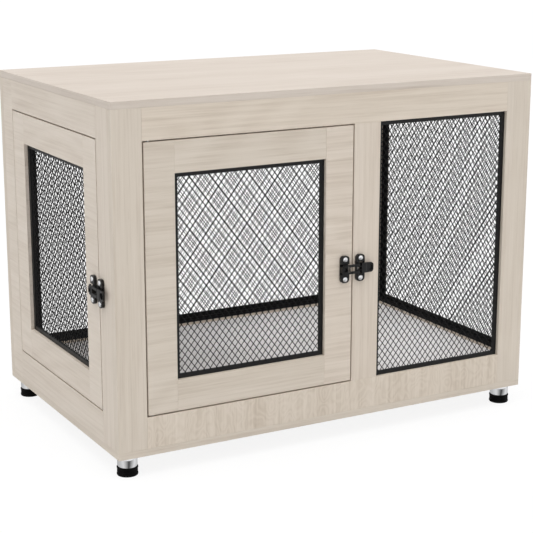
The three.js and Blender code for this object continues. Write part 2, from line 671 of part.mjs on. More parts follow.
// A wall with one fixed mesh window between two uprights.
function buildFixedWall(wall, prefix, width, upright, leftName, rightName) {
  const half = width / 2;
  const opening = between(-half + upright, half - upright);
  const rabbet = windowCutters(opening, WALL);
  member(wall, `${prefix}_${leftName}`, -half, opening.x0, WALL_BOTTOM, WALL_TOP, rabbet);
  member(wall, `${prefix}_${rightName}`, opening.x1, half, WALL_BOTTOM, WALL_TOP, rabbet);
  member(wall, `${prefix}_top_rail`, opening.x0, opening.x1, OPENING_TOP, WALL_TOP, rabbet);
  member(wall, `${prefix}_bottom_rail`, opening.x0, opening.x1, WALL_BOTTOM, OPENING_BOTTOM, rabbet);
  meshPanel(wall, `${prefix}_mesh_panel`, opening, WALL);
}

buildFrontWall();
buildLeftWall();
buildFixedWall(rightWall, 'right', SIDE_WALL_WIDTH, SIDE_STILE_WIDTH, 'front_stile', 'rear_stile');
buildFixedWall(backWall, 'back', CABINET_WIDTH, POST_WIDTH, 'right_post', 'left_post');

// ---- Feet -----------------------------------------------------------------------------------------

// The tube is open below, with a threaded boss inside for the pad's stem.
const TUBE_PROFILE = [
  [0, TUBE_LENGTH - TUBE_CAP],
  [STEM_RADIUS + STEM_CLEARANCE, TUBE_LENGTH - TUBE_CAP],
  [STEM_RADIUS + STEM_CLEARANCE, BOSS_SETBACK],
  [BOSS_RADIUS, BOSS_SETBACK],
  [BOSS_RADIUS, TUBE_LENGTH - TUBE_CAP],
  [TUBE_RADIUS - TUBE_WALL, TUBE_LENGTH - TUBE_CAP],
  [TUBE_RADIUS - TUBE_WALL, 0],
  [TUBE_RADIUS, 0],
  [TUBE_RADIUS, TUBE_LENGTH],
  [0, TUBE_LENGTH],
];

const PAD_PROFILE = [
  [0, 0],
  [PAD_RADIUS - PAD_CHAMFER, 0],
  [PAD_RADIUS, PAD_CHAMFER],
  [PAD_RADIUS, PAD_LOWER_BAND],
  [PAD_WAIST, PAD_HEIGHT - PAD_UPPER_BAND - PAD_FLARE],
  [PAD_RADIUS, PAD_HEIGHT - PAD_UPPER_BAND],
  [PAD_RADIUS, PAD_HEIGHT],
  [STEM_RADIUS, PAD_HEIGHT],
  [STEM_RADIUS, PAD_HEIGHT + STEM_LENGTH],
  [0, PAD_HEIGHT + STEM_LENGTH],
];

const feet = [
  ['front_left', -1, -1],
  ['front_right', 1, -1],
  ['rear_left', -1, 1],
  ['rear_right', 1, 1],
];

for (const [corner, sideX, sideY] of feet) {
  const foot = new THREE.Group();
  foot.position.set(
    cabinet.position.x + sideX * (halfWidth - FOOT_INSET),
    cabinet.position.y + sideY * (halfDepth - FOOT_INSET),
    0,
  );
  object.add(foot);
  const tube = add(foot, `${corner}_foot_tube`, turned(TUBE_PROFILE), chrome);
  tube.position.z = PAD_HEIGHT;
  add(foot, `${corner}_foot_pad`, turned(PAD_PROFILE), padBlack);
}

export default object;
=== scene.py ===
"""The dog crate end table: finishes, real wire mesh, screws and feet round the CAD frame."""

import math

import bmesh
import bpy
from mathutils import Matrix, Vector


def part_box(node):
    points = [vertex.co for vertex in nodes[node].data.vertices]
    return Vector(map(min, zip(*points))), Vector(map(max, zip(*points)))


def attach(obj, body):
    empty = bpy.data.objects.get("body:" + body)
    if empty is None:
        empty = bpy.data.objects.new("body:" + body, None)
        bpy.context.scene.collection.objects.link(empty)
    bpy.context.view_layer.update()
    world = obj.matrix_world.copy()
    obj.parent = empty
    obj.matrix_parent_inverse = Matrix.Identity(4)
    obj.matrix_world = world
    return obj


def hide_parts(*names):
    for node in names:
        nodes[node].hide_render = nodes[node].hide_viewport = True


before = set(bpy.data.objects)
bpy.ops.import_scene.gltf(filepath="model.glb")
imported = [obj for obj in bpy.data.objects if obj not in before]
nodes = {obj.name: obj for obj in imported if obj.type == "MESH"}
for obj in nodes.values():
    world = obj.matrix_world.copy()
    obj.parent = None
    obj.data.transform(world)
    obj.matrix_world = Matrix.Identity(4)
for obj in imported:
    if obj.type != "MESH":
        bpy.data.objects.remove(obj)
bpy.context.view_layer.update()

MM = 0.001
X, Y, Z = 0, 1, 2
WHITE = (1, 1, 1, 1)
DOORS = ("front_door", "side_door")
LATCHES = (("front_latch", "front_door", Y), ("side_latch", "side_door", X))

# ---- Camera ---------------------------------------------------------------------------------
# Fitted to the corners of the cabinet in the photograph, for a square picture.

CAMERA_PLACE = Vector((-1251.0, -2283.5, 896.5)) * MM
CAMERA_YAW = math.radians(28.91)
CAMERA_PITCH = math.radians(13.86)
CAMERA_LENS = 99.15

camera_data = bpy.data.cameras.new("camera")
camera_data.lens = CAMERA_LENS
camera = bpy.data.objects.new("camera", camera_data)
camera.location = CAMERA_PLACE
camera.rotation_euler = (math.pi / 2 - CAMERA_PITCH, 0, -CAMERA_YAW)
bpy.context.scene.collection.objects.link(camera)
bpy.context.scene.camera = camera
bpy.context.scene.view_settings.view_transform = "Standard"

# ---- Node trees -----------------------------------------------------------------------------


def linear(red, green, blue):
    """A colour given as sRGB numbers from 0 to 255, as Blender's linear colour."""
    def one(value):
        value /= 255
        return value / 12.92 if value <= 0.04045 else ((value + 0.055) / 1.055) ** 2.4
    return (one(red), one(green), one(blue), 1.0)


class Tree:
    """A short way to build a node tree. An input is a value or another node's output."""

    def __init__(self, tree):
        self.tree = tree

    def add(self, kind, settings=None, **inputs):
        """Adds a node. An input is named by its socket's name, or by i and its number.

        An underscore in a name stands for a space.
        """
        node = self.tree.nodes.new("ShaderNode" + kind)
        for key, value in (settings or {}).items():
            setattr(node, key, value)
        for key, value in inputs.items():
            self.put(node, key.replace("_", " "), value)
        return node

    def put(self, node, key, value):
        socket = node.inputs[int(key[1:])] if key[1:].isdigit() else node.inputs[key]
        if hasattr(value, "links"):
            self.tree.links.new(value, socket)
        else:
            socket.default_value = value

    def math(self, operation, a, b=0.0, c=0.0):
        return self.add("Math", {"operation": operation}, i0=a, i1=b, i2=c).outputs[0]

    def spread(self, factor, low, high, start=0.0, end=1.0):
        """Carries what lies between start and end on to the range from low to high."""
        node = self.add("MapRange", Value=factor, From_Min=start, From_Max=end,
                        To_Min=low, To_Max=high)
        return node.outputs["Result"]


class Finish(Tree):
    """A material, with its textures in the object's own coordinates, in metres."""

    def __init__(self, name):
        self.material = bpy.data.materials.new(name)
        self.material.use_nodes = True
        super().__init__(self.material.node_tree)
        self.shader = self.tree.nodes["Principled BSDF"]

    def noise(self, vector, detail, roughness):
        node = self.add("TexNoise", Vector=vector, Scale=1.0, Detail=detail, Roughness=roughness)
        return node.outputs["Fac"]

    def speckle(self, scale, detail, roughness):
        """Noise with a scale for each axis."""
        coordinates = self.add("TexCoord").outputs["Object"]
        placed = self.add("Mapping", Vector=coordinates, Scale=scale).outputs["Vector"]
        return self.noise(placed, detail, roughness)

    def ramp(self, factor, stops):
        node = self.add("ValToRGB", Fac=factor)
        elements = node.color_ramp.elements
        while len(elements) < len(stops):
            elements.new(0.5)
        for element, (position, colour) in zip(elements, stops):
            element.position = position
            element.color = colour
        return node.outputs["Color"]

    def bump(self, height, distance, strength):
        node = self.add("Bump", Height=height, Distance=distance, Strength=strength)
        return node.outputs["Normal"]

    def shade(self, **inputs):
        """Sets the shader's inputs, and returns the material."""
        for key, value in inputs.items():
            self.put(self.shader, key.replace("_", " "), value)
        return self.material


# ---- Wood -----------------------------------------------------------------------------------

END_FACE = 0.6  # a face is an end where its normal is more than this along the grain
SEED_SHIFT = (3.1, 5.7, 2.3)  # how far each step of a board's seed moves its noise
MIX_FACTOR, MIX_A, MIX_B, MIX_RESULT = "i0", "i4", "i5", 1  # a vector mix's sockets

# Turns are radians over a noise's whole range, ragged is how far the fibres bend the bands,
# and tone is how much each kind of figure adds to the tone that picks the colour.
RING_TURNS = 75.0
RING_RAGGED = 3.0
RING_TONE = 0.045
WAVE_TURNS = 85.0
WAVE_RAGGED = 4.0
WAVE_TONE = 0.1
FIBRE_TONE = 1.05
BROAD_TONE = 0.4
PORE_TONE = 0.12
PORE_START, PORE_END = 0.6, 0.72  # the range of the noise over which a pore darkens
OAK_SHADES = ((0.1, (187, 173, 157)), (0.5, (209, 198, 184)), (0.9, (220, 210, 198)))
OAK_DEPTH = 0.12 * MM
MID_NOISE = (0.3, 0.7)  # where most of a noise lies


class Grain(Finish):
    """Wood: noise drawn out along one axis, and along another on the banded end faces."""

    def __init__(self, name, axis, seed):
        super().__init__(name)
        self.axis = axis
        self.band_axis = Y if axis == X else X
        self.offset = tuple(seed * shift for shift in SEED_SHIFT)
        self.coordinates = self.add("TexCoord").outputs
        facing = self.add("SeparateXYZ", Vector=self.coordinates["Normal"]).outputs[axis]
        self.on_end = self.math("GREATER_THAN", self.math("ABSOLUTE", facing), END_FACE)

    def drawn(self, along, across, detail=2.0, roughness=0.5):
        """Noise with one scale along the grain and another across it."""
        sides = []
        for axis in (self.axis, self.band_axis):
            scale = tuple(along if i == axis else across for i in range(3))
            placed = self.add("Mapping", Vector=self.coordinates["Object"],
                              Scale=scale, Location=self.offset)
            sides.append(placed.outputs["Vector"])
        sockets = {MIX_FACTOR: self.on_end, MIX_A: sides[0], MIX_B: sides[1]}
        mix = self.add("Mix", {"data_type": "VECTOR"}, **sockets)
        return self.noise(mix.outputs[MIX_RESULT], detail, roughness)

    def bands(self, noise, turns, fibres, ragged):
        """Rings or waves along a noise's contour lines, made ragged by the fibres."""
        return self.math("SINE", self.math("MULTIPLY_ADD", noise, turns,
                                           self.math("MULTIPLY", fibres, ragged)))

    def swing(self, noise, share, tone):
        """A tone with a noise's swing about its middle added."""
        return self.math("MULTIPLY_ADD", self.math("SUBTRACT", noise, 0.5), share, tone)


def oak(name, axis, seed, wave=1.0, tone_and_light_tint=(0, 0, 0), figure=0.0):
    """Pale oak-look laminate. Wave is how strong its rings are, and figure its short waves. Its
    tint shifts its colours; on the top board and the left side's boards that is painted light.
    """
    n = Grain(name, axis, seed)
    fibres = n.drawn(along=4.0, across=190.0, detail=6.0, roughness=0.72)
    broad = n.drawn(along=1.6, across=13.0)
    contours = n.drawn(along=1.5, across=7.5, detail=1.5, roughness=0.4)
    pores = n.drawn(along=22.0, across=800.0)
    rings = n.bands(contours, RING_TURNS, fibres, RING_RAGGED)
    tone = n.math("MULTIPLY_ADD", rings, RING_TONE * wave, 0.5)
    if figure:
        contours = n.drawn(along=17.0, across=30.0, detail=1.5)
        waves = n.bands(contours, WAVE_TURNS, fibres, WAVE_RAGGED)
        tone = n.math("MULTIPLY_ADD", waves, WAVE_TONE * figure, tone)
    tone = n.swing(fibres, FIBRE_TONE, tone)
    tone = n.swing(broad, BROAD_TONE, tone)
    ticks = n.spread(pores, 0.0, PORE_TONE, PORE_START, PORE_END)
    tone = n.math("SUBTRACT", tone, ticks)
    colour = n.ramp(tone, [
        (position, linear(*(value + shift for value, shift in zip(shade, tone_and_light_tint))))
        for position, shade in OAK_SHADES
    ])
    height = n.math("ADD", n.math("MULTIPLY", fibres, 0.6), n.math("MULTIPLY", ticks, -2.0))
    roughness = n.spread(fibres, 0.46, 0.6, *MID_NOISE)
    normal = n.bump(height, OAK_DEPTH, strength=0.5)
    return n.shade(Base_Color=colour, Roughness=roughness, Normal=normal)


# How far a board's colour stands from the shades above, in sRGB numbers
NO_TINT = (0, 0, 0)
# Painted light: the top board is a little darker and cooler, for how the light falls on the top.
TOP_PAINTED_LIGHT_TINT = (-2, -2, 1)
# Painted light: the left side's boards are paler, for how the light falls on that side.
SIDE_PAINTED_LIGHT_TINT = (6, 6, 7)
RAIL_TINT = (6, 5, 4)
STILE_TINT = (4, 3, 3)
LOW_RAIL_TINT = (3, 2, 1)

# Boards of the top, bottom, front and left have seeds of their own, so that no two are alike.
# The others share three materials, by the direction of their grain.
oak_by_node = {
    "top_board": oak("oak_top", X, 1, wave=0.6, tone_and_light_tint=TOP_PAINTED_LIGHT_TINT),
    "bottom_board": oak("oak_bottom", X, 2),
    "front_left_post": oak("oak_front_left_post", Z, 3, wave=0.5),
    "front_right_post": oak("oak_front_right_post", Z, 4, wave=0.5),
    "front_mid_stile": oak("oak_mid_stile", Z, 5, wave=0.5, tone_and_light_tint=STILE_TINT),
    "front_top_rail": oak("oak_front_top_rail", X, 6, tone_and_light_tint=RAIL_TINT),
    "front_bottom_rail": oak("oak_front_bottom_rail", Z, 7, tone_and_light_tint=LOW_RAIL_TINT, figure=0.8),
    "left_front_stile": oak("oak_left_front_stile", Z, 8, wave=0.5, tone_and_light_tint=SIDE_PAINTED_LIGHT_TINT),
}
FRONT_DOOR_SEED = 10
SIDE_DOOR_SEED = 20
LEFT_WALL_SEED = 30
for i, part in enumerate(("hinge_stile", "latch_stile", "top_rail", "bottom_rail")):
    front = "front_door_" + part
    side = "side_door_" + part
    tone_and_light_tint = STILE_TINT if part == "latch_stile" else NO_TINT
    oak_by_node[front] = oak("oak_" + front, X, FRONT_DOOR_SEED + i, wave=1.5, tone_and_light_tint=tone_and_light_tint)
    oak_by_node[side] = oak("oak_" + side, Y, SIDE_DOOR_SEED + i, tone_and_light_tint=SIDE_PAINTED_LIGHT_TINT)
for i, part in enumerate(("rear_stile", "top_rail", "bottom_rail")):
    oak_by_node["left_" + part] = oak("oak_left_" + part, Y, LEFT_WALL_SEED + i, tone_and_light_tint=SIDE_PAINTED_LIGHT_TINT)

upright_oak = oak("oak_upright", Z, 40, wave=0.6)
lengthwise_oak = oak("oak_lengthwise", X, 41)
crosswise_oak = oak("oak_crosswise", Y, 42)
for material, names in (
    (upright_oak, ("back_left_post", "back_right_post", "right_front_stile", "right_rear_stile",
                   "front_door_stop", "side_door_stop")),
    (lengthwise_oak, ("back_top_rail", "back_bottom_rail",
                      "floor_bearer_front", "floor_bearer_rear")),
    (crosswise_oak, ("right_top_rail", "right_bottom_rail")),
):
    for name in names:
        oak_by_node[name] = material

# ---- Laminate, metal and rubber -------------------------------------------------------------

THIN_COAT = 6  # how much paler, in sRGB numbers, a black coat is where it is thin


def grey_laminate():
    """The light grey floor board: a faint linen-like tooth and a slow tonal drift."""
    n = Finish("floor_grey")
    fine = n.speckle((420.0, 420.0, 420.0), detail=3.0, roughness=0.6)
    slow = n.speckle((5.0, 9.0, 5.0), detail=2.0, roughness=0.5)
    tone = n.math("MULTIPLY_ADD", n.math("SUBTRACT", fine, 0.5), 0.5, slow)
    colour = n.ramp(tone, [(0.2, linear(212, 211, 212)), (0.8, linear(226, 225, 226))])
    roughness = n.spread(fine, 0.42, 0.55, *MID_NOISE)
    normal = n.bump(fine, 0.08 * MM, strength=0.4)
    return n.shade(Base_Color=colour, Roughness=roughness, Normal=normal)


def black_coat(name, tone, rough, grain, specular):
    """Black finish on metal: a fine orange-peel tooth, a little paler where it is thin."""
    n = Finish(name)
    peel = n.speckle((grain, grain, grain), detail=3.0, roughness=0.5)
    slow = n.speckle((30.0, 30.0, 30.0), detail=3.0, roughness=0.6)
    thin = tone + THIN_COAT
    start, end = MID_NOISE
    colour = n.ramp(slow, [
        (start, linear(tone, tone, tone + 1)),
        (end, linear(thin, thin, thin + 1)),
    ])
    roughness = n.spread(slow, *rough, *MID_NOISE)
    normal = n.bump(peel, 0.06 * MM, strength=0.5)
    n.shade(Specular_IOR_Level=specular)
    return n.shade(Base_Color=colour, Roughness=roughness, Normal=normal)


def bright_metal(name, shade, rough):
    """Plated or plain steel with faint turned marks and handling smudges."""
    n = Finish(name)
    marks = n.speckle((60.0, 60.0, 1600.0), detail=3.0, roughness=0.6)
    smudge = n.speckle((70.0, 70.0, 45.0), detail=4.0, roughness=0.6)
    start, end = MID_NOISE
    colour = n.ramp(smudge, [
        (start, linear(shade - 8, shade - 7, shade - 5)),
        (end, linear(shade, shade, shade)),
    ])
    mixed = n.math("MULTIPLY_ADD", marks, 0.4, n.math("MULTIPLY", smudge, 0.6))
    roughness = n.spread(mixed, *rough, *MID_NOISE)
    normal = n.bump(marks, 0.01 * MM, strength=0.3)
    return n.shade(Base_Color=colour, Metallic=1.0, Roughness=roughness, Normal=normal)


def pad_rubber():
    """Black rubber with a little dust and a fine tooth."""
    n = Finish("pad_rubber")
    dust = n.speckle((140.0, 140.0, 90.0), detail=4.0, roughness=0.6)
    tooth = n.speckle((1500.0, 1500.0, 1500.0), detail=2.0, roughness=0.5)
    colour = n.ramp(dust, [(0.35, linear(4, 4, 4)), (0.75, linear(12, 12, 12))])
    roughness = n.spread(dust, 0.5, 0.7, *MID_NOISE)
    normal = n.bump(tooth, 0.05 * MM, strength=0.4)
    n.shade(Specular_IOR_Level=0.08)
    return n.shade(Base_Color=colour, Roughness=roughness, Normal=normal)


floor_grey = grey_laminate()
mesh_black = black_coat("mesh_black", 12, rough=(0.36, 0.5), grain=900.0, specular=0.35)
# Painted shade: a deeper black for the rims and strips that show inside the shaded cabin.
mesh_black_painted_shade = black_coat("mesh_black_painted_shade", 3, rough=(0.45, 0.6), grain=900.0, specular=0.12)
wire_black = black_coat("wire_black", 8, rough=(0.5, 0.65), grain=1500.0, specular=0.25)
latch_black = black_coat("latch_black", 12, rough=(0.24, 0.36), grain=1300.0, specular=0.42)
chrome = bright_metal("chrome", 236, rough=(0.05, 0.12))
screw_chrome = bright_metal("screw_chrome", 252, rough=(0.22, 0.34))
pin_steel = bright_metal("pin_steel", 176, rough=(0.25, 0.38))
rubber = pad_rubber()

# ---- Carried-over CAD nodes -----------------------------------------------------------------

WOOD_EDGE = 0.5 * MM
METAL_EDGE = 0.35 * MM
PIN_EDGE = 0.2 * MM
EDGE_SEGMENTS = 2
CAD_EDGE_ANGLE = math.radians(50)
WELD_DISTANCE = 0.005 * MM


def round_edges(piece, width, angle):
    """Rounds the edges that turn by more than an angle."""
    bevel = piece.modifiers.new("bevel", "BEVEL")
    bevel.width = width
    bevel.segments = EDGE_SEGMENTS
    bevel.limit_method = "ANGLE"
    bevel.angle_limit = angle
    bevel.harden_normals = True


def dress(name, material, edge):
    """Gives a CAD node its material and rounds its edges."""
    piece = nodes[name]
    piece.data.materials.clear()
    piece.data.materials.append(material)
    weld = piece.modifiers.new("weld", "WELD")
    weld.merge_threshold = WELD_DISTANCE
    round_edges(piece, edge, CAD_EDGE_ANGLE)


for name, material in oak_by_node.items():
    dress(name, material, WOOD_EDGE)
dress("floor_panel", floor_grey, WOOD_EDGE)
for latch, door, axis in LATCHES:
    for part in ("door_plate", "post_plate", "bail", "lever"):
        dress(f"{latch}_{part}", latch_black, METAL_EDGE)
    dress(f"{latch}_lever_pin", pin_steel, PIN_EDGE)
    for end in ("top", "bottom"):
        dress(f"{door}_{end}_pin", pin_steel, PIN_EDGE)

# ---- New pieces -----------------------------------------------------------------------------


def piece_from(name, mesh_data, material, body, smooth=None):
    """Makes an object of a bmesh and lets it ride on a body.

    Smooth is the angle in degrees up to which its faces are shaded as one surface.
    """
    bmesh.ops.recalc_face_normals(mesh_data, faces=mesh_data.faces)
    mesh = bpy.data.meshes.new(name)
    mesh_data.to_mesh(mesh)
    mesh_data.free()
    piece = bpy.data.objects.new(name, mesh)
    bpy.context.scene.collection.objects.link(piece)
    mesh.materials.append(material)
    if smooth is not None:
        mesh.shade_smooth()
        mesh.set_sharp_from_angle(angle=math.radians(smooth))
    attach(piece, body)
    return piece


def block(low, high):
    """A box between two corners, as a bmesh."""
    mesh = bmesh.new()
    size = Matrix.Diagonal((*(high - low), 1))
    bmesh.ops.create_cube(mesh, size=1, matrix=Matrix.Translation((low + high) / 2) @ size)
    return mesh


def circle(sides):
    """The cosine and the sine at each corner of a regular polygon."""
    angles = [2 * math.pi * i / sides for i in range(sides)]
    return [(math.cos(angle), math.sin(angle)) for angle in angles]


def sweep_ring(mesh, profile, low, high, at):
    """A profile of (outward, depth) points swept round a rectangle, with mitred corners."""
    loops = []
    for side_u, side_v in ((-1, -1), (1, -1), (1, 1), (-1, 1)):
        u = high[0] if side_u > 0 else low[0]
        v = high[1] if side_v > 0 else low[1]
        points = [at(u + side_u * out, v + side_v * out, deep) for out, deep in profile]
        loops.append([mesh.verts.new(point) for point in points])
    for i, loop in enumerate(loops):
        following = loops[(i + 1) % len(loops)]
        for j in range(len(profile)):
            k = (j + 1) % len(profile)
            mesh.faces.new([loop[j], following[j], following[k], loop[k]])


def tube(mesh, start, end, radius, sides):
    """A straight round wire from start to end."""
    direction = (end - start).normalized()
    first = direction.orthogonal().normalized()
    second = direction.cross(first)
    offsets = [radius * (cosine * first + sine * second) for cosine, sine in circle(sides)]
    near = [mesh.verts.new(start + offset) for offset in offsets]
    far = [mesh.verts.new(end + offset) for offset in offsets]
    for i in range(sides):
        j = (i + 1) % sides
        mesh.faces.new([near[i], near[j], far[j], far[i]])
    mesh.faces.new(near[::-1])
    mesh.faces.new(far)


def turned(profile, sides, matrix):
    """A solid of revolution of (radius, height) points from axis to axis, as a bmesh."""
    mesh = bmesh.new()
    rings = []
    for radius, height in profile:
        corners = circle(sides) if radius else [(0, 0)]
        points = [Vector((radius * cosine, radius * sine, height)) for cosine, sine in corners]
        rings.append([mesh.verts.new(matrix @ point) for point in points])
    for lower, upper in zip(rings, rings[1:]):
        for i in range(sides):
            j = (i + 1) % sides
            around = [ring[k % len(ring)] for ring, k in
                      ((lower, i), (lower, j), (upper, j), (upper, i))]
            mesh.faces.new(list(dict.fromkeys(around)))
    return mesh


def in_mm(points):
    return [(radius * MM, height * MM) for radius, height in points]


# ---- Wire mesh windows ----------------------------------------------------------------------
# As deep in their frames as the CAD nodes that they replace. The back and right windows show
# from inside the shaded cabin, with a wider lip and a deeper black that is painted shade.

RIM_OVER_OPENING = 4.0 * MM
RIM_EDGE = 0.5 * MM
RIM_EDGE_ANGLE = math.radians(30)
LIP = 7.5 * MM
WIDE_LIP = 8.5 * MM
LIP_THICKNESS = 4.0 * MM
FLANGE_STEP = 0.5 * MM
WIRE_RADIUS = 0.7 * MM
WIRE_SIDES = 8
WIRE_SMOOTH = 60
WIRE_DEPTH = 1.5 * MM
DIAMOND = Vector((11.4, 14.55)) * MM
BACK_PITCH = 1.01  # the photograph's interference shows the back mesh to be this much coarser
SHORTEST_WIRE = 3.0 * MM
WIRE_SEAT = 2.5 * MM
ROUNDING = 1e-9
STRIP_HEIGHT = 4.0 * MM
STRIP_OVERLAP = 1.0 * MM
STRIP_PROUD = 0.6 * MM
STRIP_SUNK = 0.1 * MM


def across_window(low, high, offset, slope):
    """The part of the line v = offset + slope * u in the window, as two points, or None."""
    us = [low[0], high[0], (low[1] - offset) / slope, (high[1] - offset) / slope]
    inside = [u for u in us if low[0] - ROUNDING <= u <= high[0] + ROUNDING
              and low[1] - ROUNDING <= offset + slope * u <= high[1] + ROUNDING]
    if len(inside) < 2:
        return None
    return tuple(Vector((u, offset + slope * u)) for u in (min(inside), max(inside)))


def wire_layer(mesh, low, high, lean, depth, at, pitch):
    """One layer of parallel wires over a window. Lean is 1 or -1."""
    rise = DIAMOND[1] * pitch
    slope = lean * DIAMOND[1] / DIAMOND[0]
    middle = (Vector(low) + Vector(high)) / 2
    reach = (high[1] - low[1]) + (high[0] - low[0]) * abs(slope)
    count = math.ceil(reach / 2 / rise)
    for i in range(-count, count + 1):
        offset = middle[1] - slope * middle[0] + (i + 0.5) * rise
        line = across_window(low, high, offset, slope)
        if line is None or (line[1] - line[0]).length < SHORTEST_WIRE:
            continue
        seat = (line[1] - line[0]).normalized() * WIRE_SEAT
        start = at(*(line[0] - seat), depth)
        end = at(*(line[1] + seat), depth)
        tube(mesh, start, end, WIRE_RADIUS, WIRE_SIDES)


def mesh_window(node, body, facing, pitch=1.0, lip=LIP, black=mesh_black):
    """Replaces a CAD mesh window. Facing is the outward side: an axis index and a sign."""
    axis, sign = facing
    low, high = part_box(node)
    level = low[axis] if sign < 0 else high[axis]
    thickness = high[axis] - low[axis]
    other = 1 - axis

    def at(u, v, deep):
        point = Vector((0, 0, v))
        point[other] = u
        point[axis] = level - sign * deep
        return point

    opening_low = (low[other] + RIM_OVER_OPENING, low[Z] + RIM_OVER_OPENING)
    opening_high = (high[other] - RIM_OVER_OPENING, high[Z] - RIM_OVER_OPENING)
    profile = [
        (-lip, 0), (RIM_OVER_OPENING, 0), (RIM_OVER_OPENING, thickness),
        (-FLANGE_STEP, thickness), (-FLANGE_STEP, LIP_THICKNESS), (-lip, LIP_THICKNESS),
    ]
    rim = bmesh.new()
    sweep_ring(rim, profile, opening_low, opening_high, at)
    rim_piece = piece_from(node + "_rim", rim, black, body)
    round_edges(rim_piece, RIM_EDGE, RIM_EDGE_ANGLE)
    rim_piece.data.shade_smooth()

    window_low = tuple(value + lip for value in opening_low)
    window_high = tuple(value - lip for value in opening_high)
    wires = bmesh.new()
    mirror = -sign if axis == Y else sign  # 1 where u runs left to right as seen from outside
    wire_layer(wires, window_low, window_high, -mirror, WIRE_DEPTH, at, pitch)
    wire_layer(wires, window_low, window_high, mirror, WIRE_DEPTH + 2 * WIRE_RADIUS, at, pitch)
    wires_piece = piece_from(node + "_wires", wires, wire_black, body, WIRE_SMOOTH)
    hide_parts(node)
    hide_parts(node)


def retaining_strip(node, axis):
    """A thin black strip inside the cabinet, on the rail under a fixed mesh window. Its deeper
    black is painted shade, for the shaded cabin.
    """
    low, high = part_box(node)
    strip_low = Vector(low)
    strip_high = Vector(high)
    strip_low[axis] = low[axis] - STRIP_PROUD
    strip_high[axis] = low[axis] + STRIP_SUNK
    strip_low[Z] = low[Z] - STRIP_HEIGHT
    strip_high[Z] = low[Z] + STRIP_OVERLAP
    strip = block(strip_low, strip_high)
    piece_from(node + "_strip", strip, mesh_black_painted_shade, "cabinet")


mesh_window("front_mesh_panel", "cabinet", (Y, -1))
mesh_window("front_door_mesh_panel", "front_door", (Y, -1))
# Painted shade: the back and right rims are a deeper black, for the cabin's shade.
mesh_window("back_mesh_panel", "cabinet", (Y, 1), BACK_PITCH, WIDE_LIP, mesh_black_painted_shade)
mesh_window("right_mesh_panel", "cabinet", (X, 1), lip=WIDE_LIP, black=mesh_black_painted_shade)
mesh_window("side_door_mesh_panel", "side_door", (X, -1))
retaining_strip("back_mesh_panel", Y)
retaining_strip("right_mesh_panel", X)

# ---- Door stops -----------------------------------------------------------------------------
# Each is carried on to its door's full height, so that no light shows through the gap.

for door in DOORS:
    low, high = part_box(door + "_stop")
    door_low, door_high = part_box(door + "_latch_stile")
    for end, z0, z1 in (("upper", high[Z], door_high[Z]), ("lower", door_low[Z], low[Z])):
        strip = block(Vector((low[X], low[Y], z0)), Vector((high[X], high[Y], z1)))
        piece_from(f"{door}_{end}_stop", strip, upright_oak, "cabinet")

# ---- Feet -----------------------------------------------------------------------------------
# Profiles are in radius and height in mm: the pad's above the floor, the tube's above the pad.

TURNED_SMOOTH = 40
FOOT_SIDES = 64
TUBE_PROFILE = in_mm([
    (0, 16.5), (14.9, 16.5), (14.9, 0.4), (15.2, 0), (16.2, 0), (16.5, 0.4),
    (16.5, 19.2), (16.3, 19.5), (0, 19.5),
])
RIB = ((16.4, 0), (16.9, 0.5), (17.1, 1.1), (16.9, 1.7), (16.4, 2.2))
RIB_BASES = (5.4, 8.3)
PAD_FOOT = [(0, 0), (15.6, 0), (16.9, 0.4), (17.5, 1.4), (17.5, 3.4), (17.2, 4.2), (16.5, 4.7)]
PAD_RIBS = [(radius, base + height) for base in RIB_BASES for radius, height in RIB]
PAD_COLLAR = [(16.5, 11.2), (17.3, 11.8), (17.5, 12.6), (17.5, 14.2), (17.1, 14.8), (16.4, 15.0)]
PAD_STEM = [(4.0, 15.0), (4.0, 31.0), (0, 31.0)]
PAD_PROFILE = in_mm(PAD_FOOT + PAD_RIBS + PAD_COLLAR + PAD_STEM)
PAD_TOP = 15.0 * MM

for corner in ("front_left", "front_right", "rear_left", "rear_right"):
    low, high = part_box(corner + "_foot_pad")
    middle = (low + high) / 2
    base = Matrix.Translation((middle[X], middle[Y], 0))
    pad = turned(PAD_PROFILE, FOOT_SIDES, base)
    pad_piece = piece_from(corner + "_pad", pad, rubber, corner + "_pad",
                           TURNED_SMOOTH)
    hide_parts(corner + "_foot_pad")
    sleeve = turned(TUBE_PROFILE, FOOT_SIDES, base @ Matrix.Translation((0, 0, PAD_TOP)))
    sleeve_piece = piece_from(corner + "_tube", sleeve, chrome, "cabinet",
                              TURNED_SMOOTH)
    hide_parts(corner + "_foot_tube")

# ---- Latch screws ---------------------------------------------------------------------------
# The profile is in radius and height in mm over the wood. The heads stand on the plates' lobes.

SCREW_SIDES = 40
SCREW_PROFILE = in_mm([
    (0, 1.2), (2.0, 1.2), (2.0, 4.9), (4.1, 4.9), (4.38, 5.15), (4.3, 5.6),
    (3.9, 6.2), (3.2, 6.75), (2.3, 7.2), (1.2, 7.42), (0, 7.5),
])
SCREW_RISE = 17.0 * MM  # from the middle of the plate
SCREWS = (("upper", 1, 0.5), ("lower", -1, 1.1))  # side of the plate, and turn of the cross
CROSS_TURN = 7.0  # radians per metre along the wall, so that the crosses differ
RECESS_LENGTH = 2.6 * MM
RECESS_WIDTH = 0.75 * MM
RECESS_BOTTOM = 6.1 * MM
CUTTER_HEIGHT = 4.0 * MM


